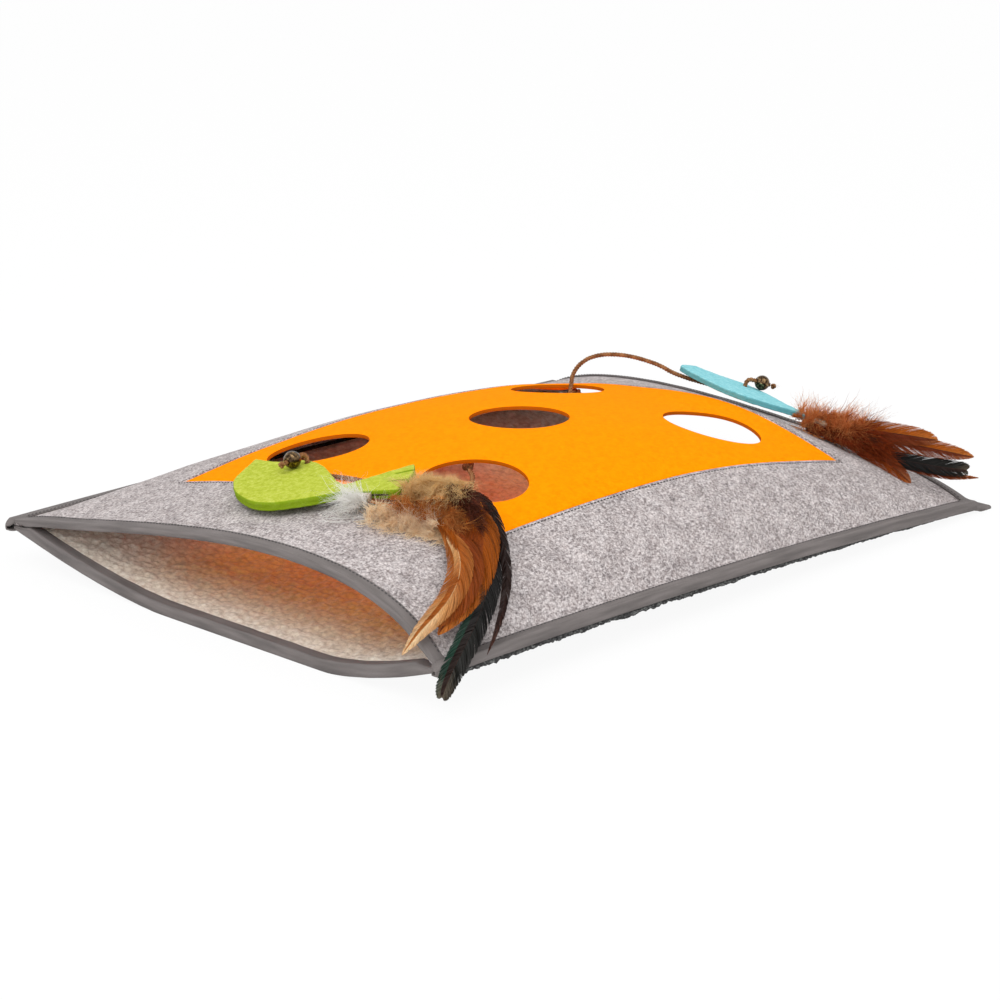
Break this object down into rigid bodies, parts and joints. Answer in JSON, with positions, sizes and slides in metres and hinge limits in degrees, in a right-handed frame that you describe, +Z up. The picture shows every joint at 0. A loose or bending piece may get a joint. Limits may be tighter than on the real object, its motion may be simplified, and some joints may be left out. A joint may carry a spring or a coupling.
{
  "type": "cat tunnel",
  "caption": "Low felt cat tunnel with a padded floor, a holed play panel on top and two tethered felt fish toys with feathers.",
  "frame": {"origin": "on the underside of the base felt, in the middle of the tunnel's length and width, at floor level", "axes": "+X along the tunnel from the wide front mouth to the lower rear mouth, +Y across it, +Z up"},
  "size_m": [0.6143, 0.4709, 0.1095],
  "materials": {
    "grey_felt": "mottled needle felt",
    "orange_felt": "dyed needle felt",
    "cream_fleece": "short pile sherpa",
    "charcoal_felt": "needle felt",
    "grey_tape": "woven binding tape",
    "green_felt": "thick dyed felt",
    "blue_felt": "thick dyed felt",
    "jute_twine": "hairy twisted twine",
    "bronze_bead": "antique bronze, glossy",
    "dark_feather": "black-green sheen",
    "orange_feather": "satin",
    "rust_feather": "satin",
    "pale_down": "downy",
    "tan_down": "downy"
  },
  "bodies": {
    "tunnel": {"top_grey_felt": "grey_felt", "orange_felt_panel": "orange_felt", "fleece_floor": "cream_fleece", "base_felt": "charcoal_felt", "front_mouth_upper_binding": "grey_tape", "rear_mouth_upper_binding": "grey_tape", "front_mouth_lower_binding": "grey_tape", "rear_mouth_lower_binding": "grey_tape", "near_side_binding": "grey_tape", "far_side_binding": "grey_tape", "green_anchor_knot": "jute_twine", "blue_anchor_knot": "jute_twine"},
    "green_cord": {"green_twine": "jute_twine", "green_bead_loop": "jute_twine", "green_end_knot": "jute_twine"},
    "green_fish": {"green_felt_fish": "green_felt"},
    "green_bead": {"green_bead": "bronze_bead"},
    "green_feathers": {"green_feather_wrap": "jute_twine", "green_long_dark_coque": "dark_feather", "green_short_dark_coque": "dark_feather", "green_long_orange_hackle": "orange_feather", "green_short_orange_hackle": "orange_feather", "green_cream_plume": "pale_down", "green_tan_plume": "tan_down"},
    "blue_cord": {"blue_twine": "jute_twine", "blue_bead_loop": "jute_twine", "blue_end_knot": "jute_twine"},
    "blue_fish": {"blue_felt_fish": "blue_felt"},
    "blue_bead": {"blue_bead": "bronze_bead"},
    "blue_feathers": {"blue_feather_wrap": "jute_twine", "blue_dark_coque": "dark_feather", "blue_long_rust_hackle": "rust_feather", "blue_upper_rust_hackle": "rust_feather", "blue_lower_rust_hackle": "rust_feather", "blue_rust_plume": "tan_down"}
  },
  "joints": [
    {"name": "green_toy_lift", "type": "hinge", "parent": "tunnel", "child": "green_cord", "pos_m": [-0.10548, -0.06057, 0.08923], "axis": [0, 1, 0], "range_deg": [0, 60]},
    {"name": "green_fish_swing", "type": "hinge", "parent": "green_cord", "child": "green_fish", "pos_m": [-0.19426, 0.01091, 0.09337], "axis": [-0.1525, 0.089, 0.9843], "range_deg": [0, 30]},
    {"name": "green_bead_spin", "type": "hinge", "parent": "green_cord", "child": "green_bead", "pos_m": [-0.20892, 0.01105, 0.1013], "axis": [-0.9874, -0.0571, -0.1478], "continuous": true},
    {"name": "green_feather_lift", "type": "hinge", "parent": "green_fish", "child": "green_feathers", "pos_m": [-0.22863, -0.08139, 0.09639], "axis": [-0.8944, -0.4362, -0.0992], "range_deg": [0, 30]},
    {"name": "blue_toy_lift", "type": "hinge", "parent": "tunnel", "child": "blue_cord", "pos_m": [0.16878, 0.0821, 0.06932], "axis": [0, -1, 0], "range_deg": [0, 70]},
    {"name": "blue_fish_swing", "type": "hinge", "parent": "blue_cord", "child": "blue_fish", "pos_m": [0.25957, -0.02294, 0.07422], "axis": [0.2773, -0.1565, 0.9479], "range_deg": [-30, 6]},
    {"name": "blue_bead_spin", "type": "hinge", "parent": "blue_cord", "child": "blue_bead", "pos_m": [0.27267, -0.03155, 0.07851], "axis": [0.7847, -0.5325, -0.3175], "continuous": true},
    {"name": "blue_feather_lift", "type": "hinge", "parent": "blue_fish", "child": "blue_feathers", "pos_m": [0.24601, -0.11176, 0.06352], "axis": [-0.8271, -0.5409, 0.1526], "range_deg": [0, 30]}
  ]
}
